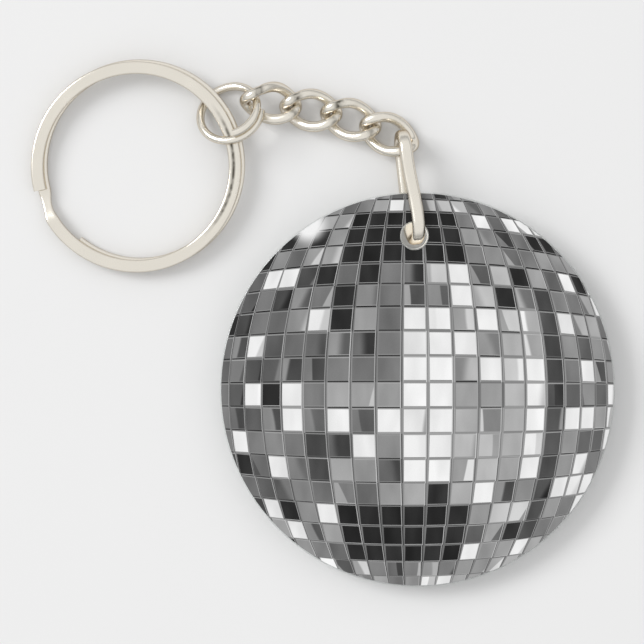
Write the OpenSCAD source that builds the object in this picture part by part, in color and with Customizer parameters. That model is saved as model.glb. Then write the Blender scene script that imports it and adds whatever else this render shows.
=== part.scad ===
// Key ring: split ring, jump ring, curb chain, connector loop and a round printed charm.
// Lying flat: +X runs from the split ring to the charm, +Z is up, the surface is z = 0.
// The origin is the middle of the whole outline, on that surface.

/* [Charm] */
// Diameter of the charm
charm_d = 50.8; // [47:0.1:54]
// Thickness of the clear acrylic
charm_t = 3.1; // [2.5:0.1:3.2]
// Thickness of each printed layer
print_t = 0.05; // [0.03:0.01:0.06]
// Width of clear edge left round the print
print_margin = 0.15; // [0.1:0.05:1]
// Diameter of the drilled hole
hole_d = 3.4; // [3.3:0.1:4]
// Place of the hole from the charm's centre, across
hole_x = -0.4; // [-0.5:0.1:-0.3]
// Place of the hole from the charm's centre, towards the chain
hole_y = 19.8; // [19.7:0.1:19.9]
// Tilt of the charm, which lies on the connector's lower leg
charm_tilt = 1.5; // [1.5:0.1:1.8]

/* [Split ring] */
// Outer diameter of one coil
ring_d = 27.25; // [26.8:0.05:27.4]
// Radial width of the flat wire
ring_wire_w = 1.6; // [1.5:0.1:1.9]
// Thickness of the flat wire
ring_wire_t = 0.9; // [0.7:0.05:0.92]
// Gap between the two coils
ring_coil_gap = 0.05; // [0.03:0.01:0.06]
// Sideways shift between the two coils
ring_coil_shift = 0.5; // [0:0.02:0.5]
// Direction in which the lower coil is shifted
ring_shift_dir = 33; // [20:1:60]
// Place of the ring's centre from the charm's centre
ring_pos = [-36.02, 28.83];
// Tilt of the ring, which lies on the jump ring
ring_tilt = 3.5; // [3.4:0.1:3.6]
// Direction of the ring's raised side
ring_tilt_dir = 46; // [42:1:50]
// Angle at which the crossover between the coils starts
crossover_start = 194; // [180:1:200]
// Length of the crossover, as an angle
crossover_span = 19; // [15:1:25]
// Angle left open below the crossover
lower_end_gap = 18; // [5:1:30]

/* [Jump ring] */
// Diameter of the jump ring's wire
jump_wire_d = 1.04; // [0.9:0.02:1.06]
// Radius of the wire's centre line
jump_r = 3.92; // [3.9:0.01:3.95]
// Angle over which the two cut ends lap
jump_lap = 78; // [40:1:85]
// Rise from one lapped end to the other, for each turn
jump_pitch = 1.1; // [1.09:0.01:1.12]
// Inward step of the upper end and outward step of the lower end
jump_step = 0.12; // [0.08:0.01:0.14]

/* [Chain] */
// Diameter of the links' wire
link_wire_d = 1.36; // [1.2:0.02:1.38]
// Half length of a link's centre line
link_half_l = 3.45; // [3.42:0.01:3.47]
// Half width of a link's centre line
link_half_w = 2.12; // [2.08:0.01:2.15]
// Twist of each end of a link out of its flat middle
link_twist = 50; // [45:1:52]
// Gap at the end link's seam
seam_gap = 0.2; // [0.1:0.02:0.3]

/* [Connector] */
// Outer length of the loop
conn_l = 14.9; // [14.7:0.1:15]
// Outer height of the loop
conn_h = 5.75; // [5.7:0.05:5.8]
// Width of the strip
conn_w = 1.7; // [1.4:0.1:1.7]
// Thickness of the strip
conn_t = 1.1; // [0.9:0.05:1.1]
// Sideways lead of the upper leg over the lower one, at the charm
lean_charm = 1.0; // [0.8:0.05:1.05]
// Sideways lead of the upper leg over the lower one, at the chain
lean_chain = 0.55; // [0.4:0.05:0.7]
// Sideways bow of the upper leg
conn_bow = 0.15; // [0:0.01:0.2]

/* [Hidden] */
nickel = "silver";
$fn = 96;

// Sizes worked out from the dimensions above
charm_r = charm_d / 2;
ring_r = ring_d / 2;
ring_lift = (ring_r - ring_coil_shift / 2 * cos(ring_tilt_dir - ring_shift_dir)) * sin(ring_tilt);
jump_wire_r = jump_wire_d / 2;
link_wire_r = link_wire_d / 2;
bow_r = (conn_h - conn_t) / 2;
leg_half = (conn_l - conn_t) / 2 - bow_r;

// Middle of the outline, from the charm's centre
outline_x = (charm_r + ring_pos[0] - ring_r - ring_coil_shift / 2 * cos(ring_shift_dir)) / 2;
outline_y = (ring_pos[1] + ring_r + ring_coil_shift / 2 * sin(ring_shift_dir) - charm_r) / 2;

// Resting places from the charm's centre: position, then turns about X, Y and Z
jump_place = [-24.23, 35.62, 2.63];
jump_tilt = 33.6;
jump_tilt_dir = -60.5;
link_places = [
    [[-18.85, 36.92, 2.57], [14.4, 15.5, -6.7]],
    [[-13.71, 36.01, 1.72], [7.3, 2.2, -9.0]],
    [[-8.55, 34.76, 1.60], [3.3, 2.3, -17.8]],
    [[-3.59, 32.85, 1.57], [-1.0, -0.5, -23.5]]
];
conn_place = [-1.08, 25.99, 2.91];
conn_turn = 7.35;

// Places along the wires
link_rings = 44;
wire_sides = 10;
jump_rings = 56;
conn_bend_rings = 14;
conn_leg_rings = 6;
coil_step = 6;
seam_at = -38;

// Vectors
function unit(v) = v / norm(v);

// Direction of a wire at point i of its centre line
function wire_dir(p, i, closed) =
    let (n = len(p))
    closed ? unit(p[(i + 1) % n] - p[(i + n - 1) % n])
           : unit(p[min(i + 1, n - 1)] - p[max(i - 1, 0)]);

// Points of one cross-section: its first axis lies across the wire, its second along the upright
function cross_ring(p, t, up, section) =
    let (b = unit(cross(t, up)), w = cross(b, t))
    [for (s = section) p + s[0] * b + s[1] * w];

// Round wire, and flat wire with its corners taken off
function round_section(r, n) = [for (k = [0 : n - 1]) r * [cos(360 * k / n), -sin(360 * k / n)]];
function flat_section(w, t, c) = [
    [w / 2, t / 2 - c], [w / 2, c - t / 2], [w / 2 - c, -t / 2], [c - w / 2, -t / 2],
    [-w / 2, c - t / 2], [-w / 2, t / 2 - c], [c - w / 2, t / 2], [w / 2 - c, t / 2]
];
function oval_section(w, t, n) = [
    for (k = [0 : n - 1])
        let (a = 360 * k / n, ca = cos(a), sa = sin(a))
        [w / 2 * sign(ca) * pow(abs(ca), 0.7), -t / 2 * sign(sa) * pow(abs(sa), 0.7)]
];

// A wire of one section swept along a centre line
module swept_wire(path, ups, section, closed) {
    n = len(path);
    m = len(section);
    points = [
        for (i = [0 : n - 1]) each cross_ring(path[i], wire_dir(path, i, closed), ups[i], section)
    ];
    walls = [
        for (i = [0 : closed ? n - 1 : n - 2], j = [0 : m - 1])
            let (a = i * m + j, b = i * m + (j + 1) % m, k = ((i + 1) % n) * m)
            each [[a, k + (j + 1) % m, b], [a, k + j, k + (j + 1) % m]]
    ];
    ends = closed ? [] : [
        [for (j = [0 : m - 1]) j],
        [for (j = [m - 1 : -1 : 0]) (n - 1) * m + j]
    ];
    polyhedron(points, concat(walls, ends), convexity = 6);
}

// Moves everything from the charm's centre to the part's own origin
module on_table() {
    translate([-outline_x, -outline_y, 0]) children();
}

// Leans a piece so that its side in direction dir goes up
module lean_up(tilt, dir) {
    rotate([0, 0, dir]) rotate([0, -tilt, 0]) rotate([0, 0, -dir]) children();
}

// ---- Split ring ----

// Height of the wire in the two coils: 0 in the lower one, 1 in the upper one
function coil_level(a) =
    let (f = (a - crossover_start) / crossover_span, g = min(max(f, 0), 1))
    g * g * (3 - 2 * g);

module split_ring() {
    first = crossover_start + crossover_span + lower_end_gap - 360;
    last = crossover_start + 360 - 0.5;
    steps = ceil((last - first) / coil_step);
    angles = [for (i = [0 : steps]) first + (last - first) * i / steps];
    mid_r = ring_r - ring_wire_w / 2;
    path = [
        for (a = angles)
            let (g = coil_level(a), shift = ring_coil_shift * (0.5 - g))
            [mid_r * cos(a) + shift * cos(ring_shift_dir), mid_r * sin(a) + shift * sin(ring_shift_dir),
             ring_wire_t / 2 + g * (ring_wire_t + ring_coil_gap)]
    ];
    color(nickel)
    on_table()
    translate([ring_pos[0], ring_pos[1], ring_lift])
    lean_up(ring_tilt, ring_tilt_dir)
    swept_wire(path, [for (a = angles) [0, 0, 1]], flat_section(ring_wire_w, ring_wire_t, 0.22), false);
}

// ---- Jump ring ----

module jump_ring() {
    turn = 360 + jump_lap;
    start = -74;
    fractions = [for (i = [0 : jump_rings]) i / jump_rings];
    path = [
        for (f = fractions)
            let (a = start + turn * f, r = jump_r - jump_step * (1 - 2 * f))
            [r * cos(a), r * sin(a), (0.5 - f) * jump_pitch * turn / 360]
    ];
    color(nickel)
    on_table()
    translate(jump_place)
    lean_up(jump_tilt, jump_tilt_dir)
    swept_wire(path, [for (f = fractions) [0, 0, 1]], round_section(jump_wire_r, wire_sides), false);
}

// ---- Curb chain ----

// Centre line of a twisted link, and the direction square to it there
function link_point(u) =
    let (tw = -link_twist * cos(u))
    [link_half_l * cos(u), link_half_w * sin(u) * cos(tw), link_half_w * sin(u) * sin(tw)];
function link_up(u) = let (tw = -link_twist * cos(u)) [0, -sin(tw), cos(tw)];

// A closed link, or with a seam where its wire was cut
module curb_link(place, seamed) {
    half_gap = seamed ? seam_gap / link_half_w / 2 * 180 / PI : 0;
    angles = seamed
        ? [for (i = [0 : link_rings]) seam_at + half_gap + (360 - 2 * half_gap) * i / link_rings]
        : [for (i = [0 : link_rings - 1]) 360 * i / link_rings];
    color(nickel)
    on_table()
    translate(place[0])
    rotate(place[1])
    swept_wire([for (u = angles) link_point(u)], [for (u = angles) link_up(u)],
               round_section(link_wire_r, wire_sides), !seamed);
}

module chain_link_1() { curb_link(link_places[0], false); }
module chain_link_2() { curb_link(link_places[1], false); }
module chain_link_3() { curb_link(link_places[2], false); }
module chain_link_4() { curb_link(link_places[3], true); }

// ---- Connector loop ----

// Outline of the loop's centre line, [height, length], round the two bends and along the two legs
function conn_outline() = concat(
    [for (i = [0 : conn_bend_rings])
        let (a = -180 + 180 * i / conn_bend_rings) [bow_r * cos(a), -leg_half + bow_r * sin(a)]],
    [for (i = [1 : conn_leg_rings - 1]) [bow_r, leg_half * (2 * i / conn_leg_rings - 1)]],
    [for (i = [0 : conn_bend_rings])
        let (a = 180 * i / conn_bend_rings) [bow_r * cos(a), leg_half + bow_r * sin(a)]],
    [for (i = [1 : conn_leg_rings - 1]) [-bow_r, leg_half * (1 - 2 * i / conn_leg_rings)]]
);

// Sideways place of a point of that outline
function conn_side(q) =
    let (f = q[1] / (leg_half + bow_r), h = q[0] / bow_r / 2,
         lean = (lean_charm + lean_chain) / 2 - (lean_charm - lean_chain) / 2 * f)
    h * lean - conn_bow * sin(180 * f) * (0.5 + h);

module connector_loop() {
    path = [for (q = conn_outline()) [conn_side(q), q[1], q[0]]];
    color(nickel)
    on_table()
    translate(conn_place)
    rotate([0, 0, conn_turn])
    swept_wire(path, [for (q = path) [1, 0, 0]], oval_section(conn_t, conn_w, wire_sides + 2), true);
}

// ---- Charm ----

// Stands the charm's parts on the charm's near edge and tilts them
module on_charm() {
    on_table()
    translate([0, -charm_r * cos(charm_tilt), 0])
    rotate([charm_tilt, 0, 0])
    translate([0, charm_r, 0])
    children();
}

// A drilled disc from height z, with its edge and its hole set back by inset
module drilled_disc(z, t, inset) {
    translate([0, 0, z])
    difference() {
        cylinder(h = t, r = charm_r - inset);
        translate([hole_x, hole_y, -1]) cylinder(h = t + 2, r = hole_d / 2 + inset);
    }
}

module acrylic_disc() {
    color("white", 0.5) on_charm() drilled_disc(0, charm_t, 0);
}

module white_base_print() {
    color("white") on_charm() drilled_disc(charm_t, print_t, print_margin);
}

module picture_print() {
    color("dimgray") on_charm() drilled_disc(charm_t + print_t, print_t, print_margin);
}

split_ring();
jump_ring();
chain_link_1();
chain_link_2();
chain_link_3();
chain_link_4();
connector_loop();
acrylic_disc();
white_base_print();
picture_print();
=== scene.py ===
"""A key ring lying flat: split ring, jump ring, curb chain, connector loop and a round printed charm.

The charm is clear acrylic with a grey picture of mirror tiles printed on its face over white ink.
"""

import logging
import math
import random
from dataclasses import dataclass, field
from enum import Enum
from typing import Any

import bmesh
import bpy
from mathutils import Matrix, Vector


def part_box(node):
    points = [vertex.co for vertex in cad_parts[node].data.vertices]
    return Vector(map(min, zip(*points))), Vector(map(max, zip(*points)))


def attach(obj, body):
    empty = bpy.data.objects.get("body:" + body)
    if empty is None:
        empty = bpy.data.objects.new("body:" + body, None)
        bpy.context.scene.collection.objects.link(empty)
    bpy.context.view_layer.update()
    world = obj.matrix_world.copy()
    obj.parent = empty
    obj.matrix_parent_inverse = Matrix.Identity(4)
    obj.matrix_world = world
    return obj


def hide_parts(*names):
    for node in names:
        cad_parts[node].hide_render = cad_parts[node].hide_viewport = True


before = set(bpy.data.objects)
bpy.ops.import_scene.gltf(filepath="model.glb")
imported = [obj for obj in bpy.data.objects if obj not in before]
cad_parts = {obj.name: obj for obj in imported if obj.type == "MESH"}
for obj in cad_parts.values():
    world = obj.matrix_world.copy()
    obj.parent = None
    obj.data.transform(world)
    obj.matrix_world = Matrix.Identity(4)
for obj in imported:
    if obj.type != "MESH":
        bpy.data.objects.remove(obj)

MM = 0.001
LOG = logging.getLogger("key_ring")


# ---- Small helpers ----


def smooth_step(t: float) -> float:
    """Eases a number from 0 to 1, and holds it outside that range.

    Args:
        t: The number to ease.

    Returns:
        The eased number.
    """
    t = min(max(t, 0.0), 1.0)
    return t * t * (3 - 2 * t)


def node_middle(node: str) -> Vector:
    """Finds the middle of a CAD node's box.

    Args:
        node: The CAD node's name.

    Returns:
        The middle of its box, in metres.
    """
    low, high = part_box(node)
    return (Vector(low) + Vector(high)) / 2


def link_object(name: str, mesh: bpy.types.Mesh) -> bpy.types.Object:
    """Puts a mesh into the scene as a new object.

    Args:
        name: The object's name.
        mesh: The mesh that it shows.

    Returns:
        The new object, at the origin.
    """
    piece = bpy.data.objects.new(name, mesh)
    bpy.context.scene.collection.objects.link(piece)
    return piece


def settle(mesh: bpy.types.Mesh, node: str) -> None:
    """Moves a mesh so that its box has the same middle as the CAD node that it stands for.

    Args:
        mesh: The mesh to move.
        node: The CAD node's name.
    """
    places = [v.co for v in mesh.vertices]
    low = Vector(min(p[axis] for p in places) for axis in range(3))
    high = Vector(max(p[axis] for p in places) for axis in range(3))
    mesh.transform(Matrix.Translation(node_middle(node) - (low + high) / 2))


def lean_up(tilt: float, direction: float) -> Matrix:
    """Leans a flat piece so that one side of it goes up.

    Args:
        tilt: The angle of the lean, in degrees.
        direction: The side that goes up, in degrees from +X.

    Returns:
        The turn as a matrix.
    """
    way = Matrix.Rotation(math.radians(direction), 4, "Z")
    return way @ Matrix.Rotation(math.radians(-tilt), 4, "Y") @ way.inverted()


def flatten_tree(piece: bpy.types.Object) -> bpy.types.Mesh:
    """Turns an object's evaluated modifiers into its own plain mesh.

    Args:
        piece: The object with live modifiers.

    Returns:
        The plain mesh that the object now holds.
    """
    bpy.context.view_layer.update()
    graph = bpy.context.evaluated_depsgraph_get()
    mesh = bpy.data.meshes.new_from_object(
        piece.evaluated_get(graph), preserve_all_data_layers=True, depsgraph=graph
    )
    piece.modifiers.clear()
    piece.data = mesh
    mesh.name = piece.name
    return mesh


class NodeDesk:
    """Adds nodes to one tree and joins them by socket name."""

    def __init__(self, tree: bpy.types.NodeTree) -> None:
        """Keeps the tree that nodes are added to."""
        self.tree = tree

    def add(self, kind: str, inputs: dict[Any, Any] | None = None, **settings: Any) -> bpy.types.Node:
        """Adds a node, gives it its settings and fills its inputs.

        Args:
            kind: The node's type name.
            inputs: Socket names or numbers with a value or another node's output socket for each.
            **settings: Properties of the node itself.

        Returns:
            The new node.
        """
        node = self.tree.nodes.new(kind)
        for name, value in settings.items():
            setattr(node, name, value)
        for key, value in (inputs or {}).items():
            self.feed(node.inputs[key], value)
        return node

    def feed(self, socket: bpy.types.NodeSocket, value: Any) -> None:
        """Joins a socket to another node's output, or sets its value.

        Args:
            socket: The input socket.
            value: An output socket or a plain value.
        """
        if isinstance(value, bpy.types.NodeSocket):
            self.tree.links.new(value, socket)
        else:
            socket.default_value = value

    def maths(self, operation: str, *values: Any) -> bpy.types.NodeSocket:
        """Adds a Math node.

        Args:
            operation: The name of the sum, such as MULTIPLY.
            *values: Its inputs in order.

        Returns:
            Its output socket.
        """
        return self.add("ShaderNodeMath", dict(enumerate(values)), operation=operation).outputs[0]

    def attribute(self, name: str) -> bpy.types.NodeSocket:
        """Reads a number kept on the mesh, in a material."""
        return self.add("ShaderNodeAttribute", attribute_name=name).outputs["Fac"]

    def field(self, name: str, kind: str = "FLOAT") -> bpy.types.NodeSocket:
        """Reads a value kept on the mesh, in a Geometry Nodes tree."""
        return self.add("GeometryNodeInputNamedAttribute", {"Name": name}, data_type=kind).outputs[0]


# ---- Finishes ----


def new_material(name: str) -> tuple[bpy.types.Material, NodeDesk, bpy.types.Node]:
    """Makes a material that holds one Principled shader.

    Args:
        name: The material's name.

    Returns:
        The material, the desk for its tree, and the shader.
    """
    material = bpy.data.materials.new(name)
    material.use_nodes = True
    return material, NodeDesk(material.node_tree), material.node_tree.nodes["Principled BSDF"]


@dataclass(frozen=True)
class PaintedReflectionLine:
    """A painted dark reflection: a dark line along part of a ring's face."""

    middle: tuple[float, float, float]
    radius: float
    half_width: float = 0.36 * MM
    strength: float = 1.0
    faces: float = -4.0
    reach: float = 46.0

    def add_to(self, desk: NodeDesk, place: Any, spots: Any) -> bpy.types.NodeSocket:
        """Adds the line to a material.

        Args:
            desk: The desk of the material's tree.
            place: The place on the piece.
            spots: A noise that breaks the line up.

        Returns:
            How strong the line is, from 0 to 1.
        """
        away = desk.add("ShaderNodeVectorMath", {0: place, 1: self.middle}, operation="SUBTRACT")
        parts = desk.add("ShaderNodeSeparateXYZ", {0: away.outputs[0]})
        x, y = parts.outputs["X"], parts.outputs["Y"]
        squares = desk.maths("ADD", desk.maths("MULTIPLY", x, x), desk.maths("MULTIPLY", y, y))
        reach = desk.maths("SQRT", squares)
        off = desk.maths("ABSOLUTE", desk.maths("SUBTRACT", reach, self.radius))
        across = desk.add(
            "ShaderNodeMapRange",
            {"Value": off, "From Min": 0.0, "From Max": self.half_width, "To Min": 1.0, "To Max": 0.0},
            interpolation_type="SMOOTHSTEP",
        )
        turn = desk.maths("SUBTRACT", desk.maths("ARCTAN2", y, x), math.radians(self.faces))
        along = desk.add(
            "ShaderNodeMapRange",
            {"Value": desk.maths("ABSOLUTE", turn), "From Min": math.radians(self.reach * 0.4),
             "From Max": math.radians(self.reach), "To Min": self.strength, "To Max": 0.0},
            interpolation_type="SMOOTHSTEP",
        )
        broken = desk.add(
            "ShaderNodeMapRange",
            {"Value": spots, "From Min": 0.35, "From Max": 0.6, "To Min": 0.6, "To Max": 1.0},
        )
        line = desk.maths("MULTIPLY", across.outputs[0], along.outputs[0])
        return desk.maths("MULTIPLY", line, broken.outputs[0])


@dataclass(frozen=True)
class NickelFinish:
    """Bright plated wire: warm white metal with drawing marks, small dimples and dull, stained welds, plus
    painted brownish shade towards its edges and, if given, a painted dark reflection line.
    """

    name: str
    colour: tuple[float, float, float] = (0.90, 0.855, 0.765)
    # Dark colour of the real weld stains, and also of the painted dark reflection line.
    stain_and_dark_reflection: tuple[float, float, float] = (0.10, 0.09, 0.07)
    # Painted shade: the brownish colour that the wire's edges turn towards.
    painted_edge_shade: tuple[float, float, float] = (0.60, 0.525, 0.43)
    polish: float = 0.13
    dull: float = 0.30
    dimple_scale: float = 900.0
    dimple_depth: float = 0.007 * MM
    streak_scale: float = 420.0
    streak_depth: float = 0.004 * MM
    edge_tint: tuple[float, float, float, float] = (0.62, 0.55, 0.45, 1.0)
    # Painted dark reflection line, if any.
    dark_reflection_line: "PaintedReflectionLine | None" = None

    def make(self) -> bpy.types.Material:
        """Builds the material.

        Returns:
            The finished material.
        """
        material, desk, shader = new_material(self.name)
        place = desk.add("ShaderNodeTexCoord").outputs["Object"]
        patches = desk.add("ShaderNodeTexNoise", {"Vector": place, "Scale": 260.0, "Detail": 3.0})
        dimples = desk.add(
            "ShaderNodeTexNoise", {"Vector": place, "Scale": self.dimple_scale, "Detail": 4.0}
        )
        grain = desk.add("ShaderNodeMapping", {"Vector": place, "Scale": (1.0, 9.0, 9.0)})
        grain.inputs["Rotation"].default_value = (0.0, 0.0, math.radians(28))
        streaks = desk.add(
            "ShaderNodeTexNoise",
            {"Vector": grain.outputs[0], "Scale": self.streak_scale, "Detail": 5.0, "Roughness": 0.7},
        )
        weld = desk.attribute("weld")
        gloss = desk.add(
            "ShaderNodeMapRange",
            {"Value": patches.outputs[0], "From Min": 0.3, "From Max": 0.7,
             "To Min": self.polish, "To Max": self.dull},
        )
        rough = desk.maths("MULTIPLY_ADD", weld, 0.25, gloss.outputs[0])
        desk.feed(shader.inputs["Roughness"], rough)
        shader.inputs["Metallic"].default_value = 1.0
        spots = desk.add("ShaderNodeTexNoise", {"Vector": place, "Scale": 1500.0, "Detail": 3.0})
        stained = desk.add(
            "ShaderNodeMapRange",
            {"Value": spots.outputs[0], "From Min": 0.42, "From Max": 0.58, "To Min": 0.45, "To Max": 1.0},
        )
        facing = desk.add("ShaderNodeSeparateXYZ", {0: desk.add("ShaderNodeNewGeometry").outputs["Normal"]})
        upward = desk.add(
            "ShaderNodeMapRange", {"Value": facing.outputs["Z"], "From Min": 0.5, "From Max": 0.8},
            interpolation_type="SMOOTHSTEP",
        )
        amount = desk.maths("MULTIPLY", desk.maths("MULTIPLY", weld, stained.outputs[0]), upward.outputs[0])
        # Painted dark reflection: adds a dark line along the ring's face, in the same dark colour as the weld
        # stains.
        if self.dark_reflection_line is not None:
            amount = desk.maths("MAXIMUM", amount, self.dark_reflection_line.add_to(desk, place, spots.outputs[0]))
        # Painted edge shade: the colour turns brownish where the wire turns away from the camera, in place of
        # the dark reflections at its edges.
        glance = desk.add("ShaderNodeLayerWeight", {"Blend": 0.5})
        beside = desk.add(
            "ShaderNodeMapRange",
            {"Value": glance.outputs["Facing"], "From Min": 0.22, "From Max": 0.9, "To Max": 0.85},
            interpolation_type="SMOOTHSTEP",
        )
        plate = desk.add("ShaderNodeMix", {"Factor": beside.outputs[0]}, data_type="RGBA")
        plate.inputs[6].default_value = (*self.colour, 1.0)
        plate.inputs[7].default_value = (*self.painted_edge_shade, 1.0)
        tint = desk.add("ShaderNodeMix", {"Factor": amount}, data_type="RGBA")
        desk.feed(tint.inputs[6], plate.outputs[2])
        tint.inputs[7].default_value = (*self.stain_and_dark_reflection, 1.0)
        desk.feed(shader.inputs["Base Color"], tint.outputs[2])
        shader.inputs["Specular Tint"].default_value = self.edge_tint
        fine = desk.add(
            "ShaderNodeBump", {"Height": streaks.outputs[0], "Distance": self.streak_depth, "Strength": 1.0}
        )
        rounds = desk.add(
            "ShaderNodeBump",
            {"Height": dimples.outputs[0], "Distance": self.dimple_depth, "Strength": 1.0,
             "Normal": fine.outputs[0]},
        )
        desk.feed(shader.inputs["Normal"], rounds.outputs[0])
        return material


@dataclass(frozen=True)
class AcrylicFinish:
    """Clear cast acrylic with a few hairlines and polished edges."""

    name: str = "clear_cast_acrylic"
    ior: float = 1.49
    polish: float = 0.02
    haze: float = 0.08

    def make(self) -> bpy.types.Material:
        """Builds the material.

        Returns:
            The finished material.
        """
        material, desk, shader = new_material(self.name)
        place = desk.add("ShaderNodeTexCoord").outputs["Object"]
        shader.inputs["Base Color"].default_value = (0.97, 0.985, 0.98, 1.0)
        shader.inputs["Transmission Weight"].default_value = 1.0
        shader.inputs["IOR"].default_value = self.ior
        stretch = desk.add("ShaderNodeMapping", {"Vector": place, "Scale": (1.0, 14.0, 1.0)})
        stretch.inputs["Rotation"].default_value = (0.0, 0.0, math.radians(35))
        hairs = desk.add(
            "ShaderNodeTexNoise", {"Vector": stretch.outputs[0], "Scale": 300.0, "Detail": 6.0}
        )
        haze = desk.add(
            "ShaderNodeMapRange",
            {"Value": hairs.outputs[0], "From Min": 0.55, "From Max": 0.75,
             "To Min": self.polish, "To Max": self.haze},
        )
        desk.feed(shader.inputs["Roughness"], haze.outputs[0])
        bump = desk.add("ShaderNodeBump", {"Height": hairs.outputs[0], "Distance": 0.002 * MM})
        desk.feed(shader.inputs["Normal"], bump.outputs[0])
        path = desk.add("ShaderNodeLightPath")
        passing = desk.maths("MAXIMUM", path.outputs["Is Shadow Ray"], path.outputs["Is Diffuse Ray"])
        clear = desk.add("ShaderNodeBsdfTransparent", {0: (0.95, 0.96, 0.955, 1.0)})
        either = desk.add("ShaderNodeMixShader", {0: passing, 1: shader.outputs[0], 2: clear.outputs[0]})
        out = material.node_tree.nodes["Material Output"]
        desk.feed(out.inputs["Surface"], either.outputs[0])
        return material


@dataclass(frozen=True)
class DrilledWallFinish:
    """The drilled wall of the hole: frosted, with a painted glow that stands in for the light that the
    acrylic carries.
    """

    name: str = "drilled_acrylic"
    colour: tuple[float, float, float] = (0.86, 0.85, 0.83)
    # Strength of the painted glow: the wall emits light though it is no lamp.
    painted_glow: float = 0.5

    def make(self) -> bpy.types.Material:
        """Builds the material.

        Returns:
            The finished material.
        """
        material, desk, shader = new_material(self.name)
        place = desk.add("ShaderNodeTexCoord").outputs["Object"]
        rings = desk.add("ShaderNodeTexWave", {"Vector": place, "Scale": 1500.0}, bands_direction="Z")
        tone = desk.add("ShaderNodeMix", {"Factor": rings.outputs["Fac"]}, data_type="RGBA")
        tone.inputs[6].default_value = (*self.colour, 1.0)
        tone.inputs[7].default_value = (*(c * 0.9 for c in self.colour), 1.0)
        desk.feed(shader.inputs["Base Color"], tone.outputs[2])
        shader.inputs["Roughness"].default_value = 0.6
        desk.feed(shader.inputs["Emission Color"], tone.outputs[2])
        # Painted light: the wall glows by itself.
        shader.inputs["Emission Strength"].default_value = self.painted_glow
        return material


@dataclass(frozen=True)
class WhiteInkFinish:
    """White ultraviolet-cured ink: matt, with the faint stripes of the print head's passes."""

    name: str = "white_cured_ink"
    colour: tuple[float, float, float] = (0.86, 0.86, 0.86)
    pass_width: float = 0.35 * MM

    def make(self) -> bpy.types.Material:
        """Builds the material.

        Returns:
            The finished material.
        """
        material, desk, shader = new_material(self.name)
        place = desk.add("ShaderNodeTexCoord").outputs["Object"]
        passes = desk.add(
            "ShaderNodeTexWave",
            {"Vector": place, "Scale": 0.05 / self.pass_width, "Distortion": 1.5, "Detail": 2.0},
            bands_direction="Y",
        )
        specks = desk.add("ShaderNodeTexNoise", {"Vector": place, "Scale": 2600.0, "Detail": 3.0})
        height = desk.maths("MULTIPLY_ADD", passes.outputs["Fac"], 0.4, specks.outputs[0])
        tone = desk.add("ShaderNodeMix", {"Factor": specks.outputs[0]}, data_type="RGBA")
        tone.inputs[6].default_value = (*self.colour, 1.0)
        tone.inputs[7].default_value = (*(c * 0.94 for c in self.colour), 1.0)
        desk.feed(shader.inputs["Base Color"], tone.outputs[2])
        shader.inputs["Roughness"].default_value = 0.55
        bump = desk.add("ShaderNodeBump", {"Height": height, "Distance": 0.004 * MM})
        desk.feed(shader.inputs["Normal"], bump.outputs[0])
        return material


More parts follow.
